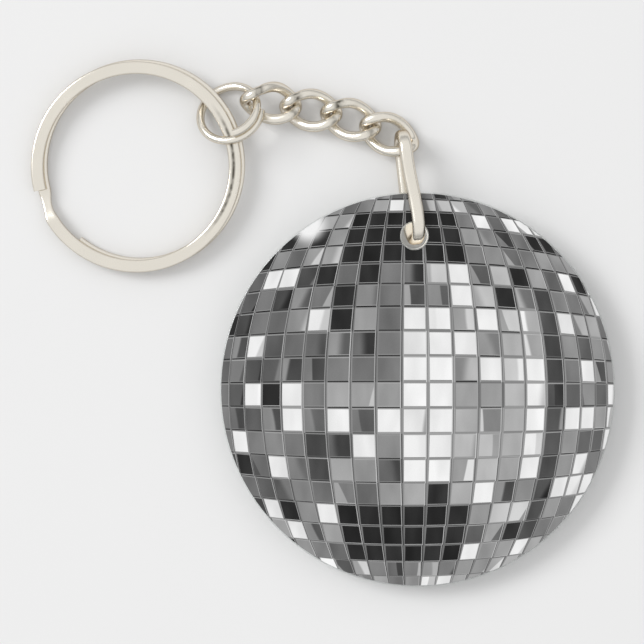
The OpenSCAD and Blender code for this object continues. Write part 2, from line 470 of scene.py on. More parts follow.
@dataclass(frozen=True)
class PictureInkFinish:
    """Grey ink that shows each mirror tile: the tones it reflects, its light edges and dark joints."""

    name: str = "grey_picture_ink"
    roughness: float = 0.42
    specular: float = 0.16
    corner: tuple[float, float, float] = (0.0, 0.0, 0.0)
    corner_reach: float = 3.0 * MM

    def make(self) -> bpy.types.Material:
        """Builds the material from the numbers kept on each tile.

        Returns:
            The finished material.
        """
        material, desk, shader = new_material(self.name)
        place = desk.add("ShaderNodeTexCoord").outputs["Object"]
        across = desk.add("ShaderNodeSeparateXYZ", {0: desk.add("ShaderNodeUVMap", uv_map="tile").outputs[0]})
        u, v = across.outputs["X"], across.outputs["Y"]

        lean = desk.maths("MULTIPLY", v, desk.attribute("lean"))
        curve = desk.maths("MULTIPLY", desk.maths("MULTIPLY", v, v), desk.attribute("curl"))
        way = desk.maths("ADD", desk.maths("ADD", u, lean), curve)
        start = desk.attribute("edge")
        end = desk.maths("ADD", start, desk.attribute("soft"))
        side = desk.add(
            "ShaderNodeMapRange",
            {"Value": way, "From Min": start, "From Max": end},
            interpolation_type="SMOOTHSTEP",
        )
        span = desk.maths("SUBTRACT", desk.attribute("second"), desk.attribute("tone"))
        mirrored = desk.maths("MULTIPLY_ADD", side.outputs[0], span, desk.attribute("tone"))

        cloud_at = desk.add("ShaderNodeVectorMath", {0: place}, operation="MULTIPLY_ADD")
        cloud_at.inputs[1].default_value = (1.0, 0.35, 1.0)
        seed = desk.add("ShaderNodeCombineXYZ", {0: desk.attribute("seed"), 1: desk.attribute("seed")})
        desk.feed(cloud_at.inputs[2], seed.outputs[0])
        cloud = desk.add(
            "ShaderNodeTexNoise", {"Vector": cloud_at.outputs[0], "Scale": 420.0, "Detail": 1.5}
        )
        veil = desk.add(
            "ShaderNodeMapRange",
            {"Value": cloud.outputs[0], "From Min": 0.3, "From Max": 0.7, "To Min": -0.035, "To Max": 0.035},
        )
        face = desk.maths("ADD", mirrored, veil.outputs[0])

        glint = desk.attribute("glint")
        dark, light = desk.attribute("joint_dark"), desk.attribute("joint_light")
        beside = desk.maths("MULTIPLY_ADD", glint, desk.maths("SUBTRACT", light, dark), dark)
        is_bed = desk.maths("GREATER_THAN", glint, 1.5)
        is_lip = desk.maths("GREATER_THAN", glint, 2.5)
        under = desk.add(
            "ShaderNodeMix",
            {0: is_lip, 2: desk.attribute("bed"), 3: desk.attribute("lip")},
            data_type="FLOAT",
        )
        joint = desk.add("ShaderNodeMix", {0: is_bed, 2: beside, 3: under.outputs[0]}, data_type="FLOAT")
        is_edge = desk.maths("GREATER_THAN", glint, -0.5)
        shown = desk.add("ShaderNodeMix", {0: is_edge, 2: face, 3: joint.outputs[0]}, data_type="FLOAT")

        away = desk.add("ShaderNodeVectorMath", {0: place, 1: self.corner}, operation="DISTANCE")
        bleach = desk.add(
            "ShaderNodeMapRange",
            {"Value": away.outputs["Value"], "From Min": self.corner_reach * 0.35,
             "From Max": self.corner_reach, "To Min": 1.0, "To Max": 0.0},
            interpolation_type="SMOOTHSTEP",
        )
        faded = desk.add(
            "ShaderNodeMix", {0: bleach.outputs[0], 2: shown.outputs[0], 3: 0.93}, data_type="FLOAT"
        )
        dots = desk.add("ShaderNodeTexWhiteNoise", noise_dimensions="3D")
        cells = desk.add("ShaderNodeVectorMath", {0: place}, operation="SNAP")
        cells.inputs[1].default_value = (0.06 * MM,) * 3
        desk.feed(dots.inputs["Vector"], cells.outputs[0])
        grain = desk.add(
            "ShaderNodeMapRange", {"Value": dots.outputs["Value"], "To Min": -0.008, "To Max": 0.008}
        )
        tone = desk.add(
            "ShaderNodeMath", {0: faded.outputs[0], 1: grain.outputs[0]}, operation="ADD", use_clamp=True
        )
        linear = desk.maths("POWER", tone.outputs[0], 2.2)
        ink = desk.add("ShaderNodeCombineColor", {0: linear, 1: linear, 2: linear})
        desk.feed(shader.inputs["Base Color"], ink.outputs[0])
        shader.inputs["Roughness"].default_value = self.roughness
        shader.inputs["Specular IOR Level"].default_value = self.specular
        bump = desk.add("ShaderNodeBump", {"Height": dots.outputs["Value"], "Distance": 0.0015 * MM})
        desk.feed(shader.inputs["Normal"], bump.outputs[0])
        return material


@dataclass(frozen=True)
class TableFinish:
    """The pale, matt surface that the key ring lies on."""

    name: str = "pale_table"
    colour: tuple[float, float, float] = (0.82, 0.82, 0.82)

    def make(self) -> bpy.types.Material:
        """Builds the material.

        Returns:
            The finished material.
        """
        material, desk, shader = new_material(self.name)
        place = desk.add("ShaderNodeTexCoord").outputs["Object"]
        grain = desk.add("ShaderNodeTexNoise", {"Vector": place, "Scale": 60.0, "Detail": 4.0})
        tone = desk.add("ShaderNodeMix", {"Factor": grain.outputs[0]}, data_type="RGBA")
        tone.inputs[6].default_value = (*self.colour, 1.0)
        tone.inputs[7].default_value = (*(c * 0.99 for c in self.colour), 1.0)
        desk.feed(shader.inputs["Base Color"], tone.outputs[2])
        shader.inputs["Roughness"].default_value = 0.9
        shader.inputs["Specular IOR Level"].default_value = 0.1
        return material


# ---- Wires swept along a centre line ----


@dataclass(frozen=True)
class Section:
    """The cross-section of a wire: its width, its thickness along the upright, and its corners."""

    width: float
    thickness: float
    corner: float
    grain: float = 0.1 * MM

    @classmethod
    def round_wire(cls, diameter: float) -> "Section":
        """Makes the section of a round wire of that diameter."""
        return cls(diameter, diameter, diameter / 2, diameter / 11)


@dataclass
class Wire:
    """A centre line, the upright at each of its points, and how marked the wire is there."""

    points: list[Vector]
    ups: list[Vector]
    closed: bool
    welds: list[float] = field(default_factory=list)
    sizes: list[float] = field(default_factory=list)

    def mesh(self, name: str) -> bpy.types.Mesh:
        """Makes a mesh of the centre line, with its uprights and weld marks kept on its points.

        Args:
            name: The mesh's name.

        Returns:
            The mesh, which has edges and no faces.
        """
        count = len(self.points)
        edges = [(i, (i + 1) % count) for i in range(count if self.closed else count - 1)]
        mesh = bpy.data.meshes.new(name)
        mesh.from_pydata(self.points, edges, [])
        ups = mesh.attributes.new("up", "FLOAT_VECTOR", "POINT")
        ups.data.foreach_set("vector", [value for up in self.ups for value in up])
        welds = mesh.attributes.new("weld", "FLOAT", "POINT")
        welds.data.foreach_set("value", self.welds or [0.0] * count)
        sizes = mesh.attributes.new("size", "FLOAT", "POINT")
        sizes.data.foreach_set("value", self.sizes or [1.0] * count)
        return mesh


class WireTree:
    """The Geometry Nodes tree that sweeps a section along a centre line and dents it at its welds."""

    def __init__(self) -> None:
        """Builds the tree."""
        self.tree = bpy.data.node_groups.new("swept_wire", "GeometryNodeTree")
        face = self.tree.interface
        face.new_socket("Geometry", in_out="INPUT", socket_type="NodeSocketGeometry")
        for name in ("Width", "Thickness", "Corner", "Grain", "Dent"):
            face.new_socket(name, in_out="INPUT", socket_type="NodeSocketFloat")
        face.new_socket("Seed", in_out="INPUT", socket_type="NodeSocketInt")
        face.new_socket("Finish", in_out="INPUT", socket_type="NodeSocketMaterial")
        face.new_socket("Geometry", in_out="OUTPUT", socket_type="NodeSocketGeometry")
        desk = NodeDesk(self.tree)
        given = desk.add("NodeGroupInput").outputs
        line = desk.add("GeometryNodeMeshToCurve", {"Mesh": given["Geometry"]})
        size = desk.field("size")
        sized = desk.add("GeometryNodeSetCurveRadius", {"Curve": line.outputs[0], "Radius": size})
        upright = desk.add("GeometryNodeSetCurveNormal", {"Curve": sized.outputs[0]}, mode="FREE")
        desk.feed(upright.inputs["Normal"], desk.field("up", "FLOAT_VECTOR"))
        oblong = desk.add(
            "GeometryNodeCurvePrimitiveQuadrilateral",
            {"Width": given["Thickness"], "Height": given["Width"]},
        )
        rounded = desk.add(
            "GeometryNodeFilletCurve",
            {"Curve": oblong.outputs[0], "Count": 6, "Radius": given["Corner"], "Limit Radius": True},
            mode="POLY",
        )
        profile = desk.add(
            "GeometryNodeResampleCurve",
            {"Curve": rounded.outputs[0], "Length": given["Grain"]},
            mode="LENGTH",
        )
        swept = desk.add(
            "GeometryNodeCurveToMesh",
            {"Curve": upright.outputs[0], "Profile Curve": profile.outputs[0], "Fill Caps": True},
        )
        if "Scale" in swept.inputs:
            desk.feed(swept.inputs["Scale"], desk.field("size"))
        lumps = desk.add(
            "ShaderNodeTexNoise", {"W": given["Seed"], "Scale": 1400.0, "Detail": 2.0}, noise_dimensions="4D"
        )
        dented = desk.maths("MULTIPLY", desk.field("weld"), lumps.outputs[0])
        depth = desk.maths("MULTIPLY", dented, given["Dent"])
        inward = desk.add(
            "ShaderNodeVectorMath", {0: desk.add("GeometryNodeInputNormal").outputs[0]}, operation="SCALE"
        )
        desk.feed(inward.inputs["Scale"], desk.maths("MULTIPLY", depth, -1.0))
        dented = desk.add(
            "GeometryNodeSetPosition", {"Geometry": swept.outputs[0], "Offset": inward.outputs[0]}
        )
        gentle = desk.add(
            "FunctionNodeCompare",
            {0: desk.add("GeometryNodeInputMeshEdgeAngle").outputs[0], 1: math.radians(40)},
            operation="LESS_THAN",
        )
        shaded = desk.add(
            "GeometryNodeSetShadeSmooth",
            {"Geometry": dented.outputs[0], "Shade Smooth": gentle.outputs[0]},
            domain="EDGE",
        )
        real = desk.add("GeometryNodeRealizeInstances", {"Geometry": shaded.outputs[0]})
        dressed = desk.add(
            "GeometryNodeSetMaterial", {"Geometry": real.outputs[0], "Material": given["Finish"]}
        )
        desk.add("NodeGroupOutput", {"Geometry": dressed.outputs[0]})

    def sweep(
        self,
        name: str,
        wire: Wire,
        section: Section,
        finish: bpy.types.Material,
        dent: float = 0.0,
        seed: int = 1,
    ) -> bpy.types.Object:
        """Sweeps a section along a wire and returns it as an object with a plain mesh.

        Args:
            name: The piece's name.
            wire: The centre line.
            section: The cross-section.
            finish: The material.
            dent: How deep a full weld mark goes.
            seed: The seed of the weld's lumps.

        Returns:
            The piece.
        """
        piece = link_object(name, wire.mesh(name))
        modifier = piece.modifiers.new("sweep", "NODES")
        modifier.node_group = self.tree
        values = {
            "Width": section.width, "Thickness": section.thickness, "Corner": section.corner,
            "Grain": section.grain, "Dent": dent, "Seed": seed, "Finish": finish,
        }
        set_inputs(modifier, values)
        flatten_tree(piece)
        return piece


def set_inputs(modifier: bpy.types.Modifier, values: dict[str, Any]) -> None:
    """Gives a Geometry Nodes modifier its inputs, by each socket's identifier.

    Args:
        modifier: The modifier.
        values: The named inputs' values.
    """
    for item in modifier.node_group.interface.items_tree:
        if item.item_type == "SOCKET" and item.in_out == "INPUT" and item.name in values:
            modifier[item.identifier] = values[item.name]


def hand_over(piece: bpy.types.Object, body: str, node: str) -> None:
    """Parents a finished piece to the body that it moves with, and hides the CAD node that it stands for.

    Args:
        piece: The finished piece.
        body: The body that it moves with.
        node: The CAD node that it stands for.
    """
    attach(piece, body)
    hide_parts(node)
    LOG.info("%s rides on %s, %d faces", piece.name, body, len(piece.data.polygons))


# ---- Metal pieces ----


@dataclass
class SplitRing:
    """Two coils of flat wire, with a short crossover between them."""

    outer: float = 27.23 * MM
    wire_width: float = 1.6 * MM
    wire_thick: float = 0.9 * MM
    corner: float = 0.24 * MM
    coil_gap: float = 0.05 * MM
    coil_shift: float = 0.5 * MM
    shift_direction: float = 33.0
    tilt: float = 3.5
    tilt_direction: float = 46.0
    crossover: float = 194.0
    crossover_span: float = 19.0
    lower_end_gap: float = 18.0
    slimming: float = 0.3
    step: float = 1.5

    def reflection_line(self) -> PaintedReflectionLine:
        """Gives the painted dark reflection line that runs along the inner part of the upper coil."""
        return PaintedReflectionLine(tuple(node_middle("split_ring")), self.outer / 2 - self.wire_width * 0.76)

    def level(self, angle: float) -> float:
        """Says how far up the wire has climbed at an angle: 0 in the lower coil, 1 in the upper one."""
        return smooth_step((angle - self.crossover) / self.crossover_span)

    def wire(self) -> Wire:
        """Works out the centre line of both coils.

        Returns:
            The wire, from its lower end to its upper one.
        """
        first = self.crossover + self.crossover_span + self.lower_end_gap - 360
        last = self.crossover + 360 - 0.5
        steps = math.ceil((last - first) / self.step)
        middle = (self.outer - self.wire_width) / 2
        way = math.radians(self.shift_direction)
        aside = Vector((math.cos(way), math.sin(way), 0)) * self.coil_shift
        points, sizes = [], []
        for i in range(steps + 1):
            angle = first + (last - first) * i / steps
            level = self.level(angle)
            sizes.append(1 - self.slimming * 4 * level * (1 - level))
            turn = math.radians(angle)
            height = self.wire_thick / 2 + level * (self.wire_thick + self.coil_gap)
            at = Vector((middle * math.cos(turn), middle * math.sin(turn), height))
            points.append(at + aside * (0.5 - level))
        return Wire(points, [Vector((0, 0, 1))] * len(points), False, sizes=sizes)

    def build(self, tree: WireTree, finish: bpy.types.Material) -> None:
        """Makes the ring where the CAD ring lies.

        Args:
            tree: The tree that sweeps wires.
            finish: The nickel.
        """
        section = Section(self.wire_width, self.wire_thick, self.corner)
        piece = tree.sweep("ring_coils", self.wire(), section, finish)
        piece.data.transform(lean_up(self.tilt, self.tilt_direction))
        settle(piece.data, "split_ring")
        hand_over(piece, "split_ring", "split_ring")


@dataclass
class JumpRing:
    """A ring of round wire whose two cut ends lap past each other."""

    wire_d: float = 1.04 * MM
    radius: float = 3.92 * MM
    start: float = -74.0
    lap: float = 78.0
    pitch: float = 1.1 * MM
    step: float = 0.12 * MM
    tilt: float = 33.6
    tilt_direction: float = -60.5
    rings: int = 200

    def wire(self) -> Wire:
        """Works out the centre line.

        Returns:
            The wire, from its raised end to its lower one.
        """
        turn = 360 + self.lap
        points = []
        for i in range(self.rings + 1):
            f = i / self.rings
            angle = math.radians(self.start + turn * f)
            radius = self.radius - self.step * (1 - 2 * f)
            height = (0.5 - f) * self.pitch * turn / 360
            points.append(Vector((radius * math.cos(angle), radius * math.sin(angle), height)))
        return Wire(points, [Vector((0, 0, 1))] * len(points), False)

    def build(self, tree: WireTree, finish: bpy.types.Material) -> None:
        """Makes the jump ring where the CAD one lies.

        Args:
            tree: The tree that sweeps wires.
            finish: The nickel.
        """
        piece = tree.sweep("lapped_ring", self.wire(), Section.round_wire(self.wire_d), finish)
        piece.data.transform(lean_up(self.tilt, self.tilt_direction))
        settle(piece.data, "jump_ring")
        hand_over(piece, "jump_ring", "jump_ring")


class Joining(Enum):
    """How the two ends of a link's wire are joined."""

    WELDED = "welded"
    OPEN_SEAM = "open seam"


@dataclass
class CurbLink:
    """One link of the curb chain: an oval of round wire, twisted end to end."""

    number: int
    turns: tuple[float, float, float]
    joining: Joining = Joining.WELDED
    wire_d: float = 1.36 * MM
    half_l: float = 3.45 * MM
    half_w: float = 2.12 * MM
    twist: float = 50.0
    seam_at: float = -38.0
    seam_gap: float = 0.2 * MM
    weld_at: float = 126.0
    weld_span: float = 9.0
    back_weld_at: float = -34.0
    rings: int = 160

    def point(self, u: float) -> tuple[Vector, Vector]:
        """Finds the centre line and the upright at an angle round the link.

        Args:
            u: The angle, in degrees.

        Returns:
            The point, and the direction square to the wire there.
        """
        a = math.radians(u)
        twist = -math.radians(self.twist) * math.cos(a)
        across = self.half_w * math.sin(a)
        at = Vector((self.half_l * math.cos(a), across * math.cos(twist), across * math.sin(twist)))
        return at, Vector((0, -math.sin(twist), math.cos(twist)))

    def weld(self, u: float) -> float:
        """Says how marked the wire is at an angle, from 0 to 1."""
        marks = ((self.weld_at, 1.0), (self.back_weld_at, 0.6))
        near = (size * math.exp(-(((u - at + 180) % 360 - 180) / self.weld_span) ** 2) for at, size in marks)
        return min(sum(near), 1.0)

    def wire(self) -> Wire:
        """Works out the centre line of the whole link.

        Returns:
            The wire, closed if it is welded.
        """
        open_seam = self.joining is Joining.OPEN_SEAM
        gap = math.degrees(self.seam_gap / self.half_w / 2) if open_seam else 0.0
        start = self.seam_at + gap if open_seam else 0.0
        count = self.rings + 1 if open_seam else self.rings
        angles = [start + (360 - 2 * gap) * i / self.rings for i in range(count)]
        places = [self.point(u) for u in angles]
        welds = [0.0 if open_seam else self.weld(u) for u in angles]
        return Wire([p for p, _ in places], [up for _, up in places], not open_seam, welds)

    def build(self, tree: WireTree, finish: bpy.types.Material) -> None:
        """Makes the link where the CAD one lies.

        Args:
            tree: The tree that sweeps wires.
            finish: The nickel.
        """
        node = f"chain_link_{self.number}"
        section = Section.round_wire(self.wire_d)
        piece = tree.sweep(f"curb_link_{self.number}", self.wire(), section, finish, 0.16 * MM, self.number)
        roll, pitch, yaw = (
            Matrix.Rotation(math.radians(turn), 4, axis) for turn, axis in zip(self.turns, "XYZ")
        )
        piece.data.transform(yaw @ pitch @ roll)
        settle(piece.data, node)
        hand_over(piece, f"link_{self.number}", node)


@dataclass
class ConnectorLoop:
    """The long loop of oval strip that joins the chain to the charm."""

    length: float = 14.9 * MM
    height: float = 5.75 * MM
    strip_width: float = 1.7 * MM
    strip_thick: float = 1.1 * MM
    lean_charm: float = 1.0 * MM
    lean_chain: float = 0.55 * MM
    bow: float = 0.15 * MM
    turn: float = 7.35
    bend_rings: int = 40
    leg_rings: int = 40

    def outline(self) -> list[tuple[float, float]]:
        """Works out the loop's outline, as height and length, round both bends and along both legs.

        Returns:
            The outline's points in order.
        """
        bow_r = (self.height - self.strip_thick) / 2
        leg = (self.length - self.strip_thick) / 2 - bow_r
        arc = [math.pi * i / self.bend_rings for i in range(self.bend_rings + 1)]
        slide = [2 * i / self.leg_rings - 1 for i in range(1, self.leg_rings)]
        near = [(-bow_r * math.cos(a), -leg - bow_r * math.sin(a)) for a in arc]
        far = [(bow_r * math.cos(a), leg + bow_r * math.sin(a)) for a in arc]
        upper = [(bow_r, leg * s) for s in slide]
        lower = [(-bow_r, -leg * s) for s in slide]
        return near + upper + far + lower

    def wire(self) -> Wire:
        """Works out the centre line, with the sideways lead and bow of the upper leg.

        Returns:
            The closed wire.
        """
        bow_r = (self.height - self.strip_thick) / 2
        half = (self.length - self.strip_thick) / 2
        points = []
        for height, along in self.outline():
            f = along / half
            h = height / bow_r / 2
            lean = (self.lean_charm + self.lean_chain) / 2 - (self.lean_charm - self.lean_chain) / 2 * f
            side = h * lean - self.bow * math.sin(math.pi * f) * (0.5 + h)
            points.append(Vector((side, along, height)))
        return Wire(points, [Vector((1, 0, 0))] * len(points), True)

    def build(self, tree: WireTree, finish: bpy.types.Material) -> None:
        """Makes the loop where the CAD one lies.

        Args:
            tree: The tree that sweeps wires.
            finish: The nickel.
        """
        section = Section(self.strip_thick, self.strip_width, 0.54 * MM, 0.08 * MM)
        piece = tree.sweep("loop_strip", self.wire(), section, finish)
        piece.data.transform(Matrix.Rotation(math.radians(self.turn), 4, "Z"))
        settle(piece.data, "connector_loop")
        hand_over(piece, "connector", "connector_loop")


# ---- Charm ----


@dataclass(frozen=True)
class Patch:
    """A block of neighbouring tiles that show the same thing: columns, rows and a tone."""

    shows: str
    columns: tuple[int, int]
    rows: tuple[int, int]
    tone: float
    steady: bool = False

    def holds(self, column: int, row: int) -> bool:
        """Says whether a tile lies in the patch."""
        return self.columns[0] <= column <= self.columns[1] and self.rows[0] <= row <= self.rows[1]


ROOM = (
    Patch("walls", (-20, 20), (-12, 12), 0.5),
    Patch("pale wall", (2, 5), (-5, 5), 0.65),
    Patch("shaded wall", (-9, -4), (-5, 5), 0.4),
    Patch("dark rim", (-20, -10), (-12, 12), 0.15, True),
    Patch("dark ceiling", (-3, 2), (6, 8), 0.15, True),
    Patch("dark floor", (-3, 2), (-7, -5), 0.15, True),
    Patch("window", (0, 1), (-3, 3), 0.9, True),
    Patch("side window", (5, 5), (-3, 3), 0.9, True),
    Patch("post", (6, 6), (-6, 4), 0.3, True),
)


@dataclass
class TilePicture:
    """The printed picture: rows of square mirror tiles on a ball, seen from nearby."""

    ball_r: float = 39.8 * MM
    nearness: float = 0.317
    ball_x: float = -1.02 * MM
    ball_y: float = -0.50 * MM
    row_pitch: float = 4.83
    column_pitch: float = 4.86
    row_shift: float = -0.28
    column_shift: float = -1.18
    narrowing: float = 0.0009
    relief: float = 0.010 * MM
    body: float = 0.034 * MM
    quiet_share: float = 0.62
    lamp_share: float = 0.17
    gap_share: float = 0.10
    lamp_tone: float = 0.9
    gap_tone: float = 0.17
    steady_change: float = 0.025
    wall_change: float = 0.14
    seed: int = 7

    def tile_mesh(self) -> bpy.types.Mesh:
        """Makes one tile, one unit square: a raised face, narrow bevels and half of the joints.

        Returns:
            The tile's mesh, with a UV map across it and how brightly each bevel or joint glints.
        """
        across = (0.0, 0.022, 0.33, 0.60, 0.882, 0.92, 0.965, 1.0)
        up = (0.0, 0.048, 0.076, 0.36, 0.64, 0.945, 0.97, 1.0)
        column_glint = (0.5, -1.0, -1.0, -1.0, 0.95, 0.0, 0.5)
        row_glint = (2.0, 3.0, -1.0, -1.0, -1.0, 0.75, 0.4)
        last = len(across) - 1
        vertices, faces, glints, held = [], [], [], []
        for j, v in enumerate(up):
            for i, u in enumerate(across):
                rim = i in (0, last) or j in (0, last)
                low = rim or i == last - 1
                vertices.append((u - 0.5, v - 0.5, 0.0 if low else 1.0))
                held.append(0.0 if rim else 1.0)
        for j in range(last):
            for i in range(last):
                first = j * (last + 1) + i
                faces.append((first, first + 1, first + last + 2, first + last + 1))
                glints.append(column_glint[i] if column_glint[i] >= 0 else row_glint[j])
        mesh = bpy.data.meshes.new("one_tile")
        mesh.from_pydata(vertices, [], faces)
        mesh.attributes.new("glint", "FLOAT", "FACE").data.foreach_set("value", glints)
        mesh.attributes.new("held", "FLOAT", "POINT").data.foreach_set("value", held)
        layer = mesh.uv_layers.new(name="tile")
        for loop in mesh.loops:
            at = mesh.vertices[loop.vertex_index].co
            layer.data[loop.index].uv = (at.x + 0.5, at.y + 0.5)
        return mesh

    def tone_of(self, column: int, row: int, dice: random.Random) -> float:
        """Chooses the tone of a tile from the room it mirrors, with lamps and gaps set by chance.

        Args:
            column: The tile's column.
            row: The tile's row.
            dice: The source of chance.

        Returns:
            The tone, from 0 for black to 1 for white.
        """
        patch = [p for p in ROOM if p.holds(column, row)][-1]
        draw = dice.random()
        most = self.steady_change if patch.steady else self.wall_change
        change = dice.uniform(-most, most)
        if not patch.steady and draw < self.lamp_share:
            return self.lamp_tone
        if not patch.steady and draw > 1 - self.gap_share:
            return self.gap_tone
        return min(max(patch.tone + change, 0.1), 0.95)

    def points_mesh(self) -> bpy.types.Mesh:
        """Makes a point for each tile, with its longitude, its latitude and what it shows.

        Returns:
            The mesh of points.
        """
        dice = random.Random(self.seed)
        kept: dict[str, list[float]] = {}
        count = 0
        for row in range(-11, 12):
            pitch = self.column_pitch * (1 - self.narrowing * row * row)
            lat = math.radians(row * self.row_pitch + self.row_shift)
            for column in range(-13, 13):
                lon = math.radians((column + 0.5) * pitch + self.column_shift)
                tone = self.tone_of(column, row, dice)
                quiet = tone < 0.25 or dice.random() < self.quiet_share
                swing = dice.choice((-1, 1)) * dice.uniform(0.08, 0.30)
                near_edge = min(abs(row) / 8, 1.0)
                bed = 0.24 if tone < 0.62 else 0.58
                lip = 0.64 if tone < 0.25 else tone + 0.06 if tone < 0.62 else 0.56
                tile = {
                    "lon": lon,
                    "lat": lat,
                    "wide": math.radians(pitch),
                    "tone": tone,
                    "second": min(max(tone + (dice.uniform(-0.04, 0.04) if quiet else swing), 0.12), 0.93),
                    "lean": 2.2 * lon * lat + dice.uniform(-0.2, 0.2),
                    "curl": dice.uniform(-0.12, 0.12),
                    "edge": dice.uniform(0.1, 0.7),
                    "soft": 0.9 if quiet else dice.choice((0.06, 0.15, 0.4)),
                    "seed": dice.uniform(0.0, 0.1),
                    "joint_dark": 0.24 + 0.26 * tone - 0.10 * near_edge + dice.uniform(-0.08, 0.08),
                    "joint_light": 0.60 + 0.12 * tone + 0.06 * near_edge + dice.uniform(-0.12, 0.10),
                    "bed": bed - 0.08 * near_edge + dice.uniform(-0.08, 0.08),
                    "lip": lip + dice.uniform(-0.06, 0.06),
                }
                count += 1
                for name, value in tile.items():
                    kept.setdefault(name, []).append(value)
        mesh = bpy.data.meshes.new("tile_points")
        mesh.from_pydata([(0.0, 0.0, 0.0)] * count, [], [])
        for name, values in kept.items():
            mesh.attributes.new(name, "FLOAT", "POINT").data.foreach_set("value", values)
        return mesh

    def tree(self) -> bpy.types.NodeTree:
        """Builds the tree that sets a tile for each point and lays them all out as a ball seen from nearby.

        A tile's rim follows the ball. Its face is flat, so it is a parallelogram around the tile's middle.

        Returns:
            The tree.
        """
        tree = bpy.data.node_groups.new("tile_sheet", "GeometryNodeTree")
        face = tree.interface
        face.new_socket("Geometry", in_out="INPUT", socket_type="NodeSocketGeometry")
        face.new_socket("Tile", in_out="INPUT", socket_type="NodeSocketObject")
        for name in ("Ball radius", "Nearness", "Ball x", "Ball y", "Row pitch", "Relief"):
            face.new_socket(name, in_out="INPUT", socket_type="NodeSocketFloat")
        face.new_socket("Finish", in_out="INPUT", socket_type="NodeSocketMaterial")
        face.new_socket("Geometry", in_out="OUTPUT", socket_type="NodeSocketGeometry")
        desk = NodeDesk(tree)
        given = desk.add("NodeGroupInput").outputs
        tile = desk.add("GeometryNodeObjectInfo", {"Object": given["Tile"]})
        laid = desk.add(
            "GeometryNodeInstanceOnPoints",
            {"Points": given["Geometry"], "Instance": tile.outputs["Geometry"]},
        )
        real = desk.add("GeometryNodeRealizeInstances", {"Geometry": laid.outputs[0]})
        at = desk.add("ShaderNodeSeparateXYZ", {0: desk.add("GeometryNodeInputPosition").outputs[0]})
        radius = given["Ball radius"]
        lon, lat, wide = desk.field("lon"), desk.field("lat"), desk.field("wide")
        east = desk.maths("MULTIPLY", at.outputs["X"], wide)
        north = desk.maths("MULTIPLY", at.outputs["Y"], given["Row pitch"])
        near = given["Nearness"]
        rim = self.on_ball(desk, desk.maths("ADD", lon, east), desk.maths("ADD", lat, north), near)
        middle = self.on_ball(desk, lon, lat, near)
        side = self.on_ball(desk, desk.maths("MULTIPLY_ADD", wide, 0.5, lon), lat, near)
        top = self.on_ball(desk, lon, desk.maths("MULTIPLY_ADD", given["Row pitch"], 0.5, lat), near)
        lean = desk.maths("MULTIPLY", desk.maths("ABSOLUTE", desk.maths("TANGENT", lat)), given["Row pitch"])
        narrow = desk.maths("MULTIPLY_ADD", lean, -0.45, 1.0)
        ahead = desk.maths("MULTIPLY", desk.maths("MULTIPLY", at.outputs["X"], 2.0), narrow)
        above = desk.maths("MULTIPLY", at.outputs["Y"], 2.0)
        held = desk.field("held")
        places = []
        for i, shift in enumerate((given["Ball x"], given["Ball y"])):
            along = desk.maths("MULTIPLY_ADD", desk.maths("SUBTRACT", side[i], middle[i]), ahead, middle[i])
            flat_part = desk.maths("MULTIPLY_ADD", desk.maths("SUBTRACT", top[i], middle[i]), above, along)
            both = desk.add("ShaderNodeMix", {0: held, 2: rim[i], 3: flat_part}, data_type="FLOAT")
            places.append(desk.maths("MULTIPLY_ADD", both.outputs[0], radius, shift))
        z = desk.maths("MULTIPLY", at.outputs["Z"], given["Relief"])
        flat = desk.add("ShaderNodeCombineXYZ", {0: places[0], 1: places[1], 2: z})
        seen = desk.add("GeometryNodeSetPosition", {"Geometry": real.outputs[0], "Position": flat.outputs[0]})
        again = desk.add("GeometryNodeRealizeInstances", {"Geometry": seen.outputs[0]})
        dressing = {"Geometry": again.outputs[0], "Material": given["Finish"]}
        dressed = desk.add("GeometryNodeSetMaterial", dressing)
        desk.add("NodeGroupOutput", {"Geometry": dressed.outputs[0]})
        return tree

    @staticmethod
    def on_ball(desk: NodeDesk, lon: Any, lat: Any, near: Any) -> tuple[Any, Any]:
        """Adds the nodes for a point of a ball of radius 1, seen from nearby.

        Args:
            desk: The desk of the tree.
            lon: The longitude.
            lat: The latitude.
            near: The ball's radius over the viewer's distance from its middle.

        Returns:
            Its place across and up, at the size that the ball's nearest point is seen at.
        """
        forward = desk.maths("MULTIPLY", desk.maths("COSINE", lat), desk.maths("COSINE", lon))
        size = desk.maths(
            "DIVIDE",
            desk.maths("SUBTRACT", 1.0, near),
            desk.maths("SUBTRACT", 1.0, desk.maths("MULTIPLY", near, forward)),
        )
        across = desk.maths("MULTIPLY", desk.maths("SINE", lon), desk.maths("COSINE", lat))
        return desk.maths("MULTIPLY", across, size), desk.maths("MULTIPLY", desk.maths("SINE", lat), size)

    def sheet(self, finish: bpy.types.Material) -> bpy.types.Object:
        """Lays out all the tiles as one flat sheet around the charm's centre.

        Args:
            finish: The picture's ink.

        Returns:
            The sheet, larger than the charm.
        """
        tile = link_object("one_tile", self.tile_mesh())
        piece = link_object("tile_picture", self.points_mesh())
        modifier = piece.modifiers.new("tiles", "NODES")
        modifier.node_group = self.tree()
        values = {
            "Tile": tile, "Ball radius": self.ball_r, "Nearness": self.nearness, "Ball x": self.ball_x,
            "Ball y": self.ball_y,
            "Row pitch": math.radians(self.row_pitch), "Relief": self.relief, "Finish": finish,
        }
        set_inputs(modifier, values)
        flatten_tree(piece)
        bpy.data.objects.remove(tile)
        return piece

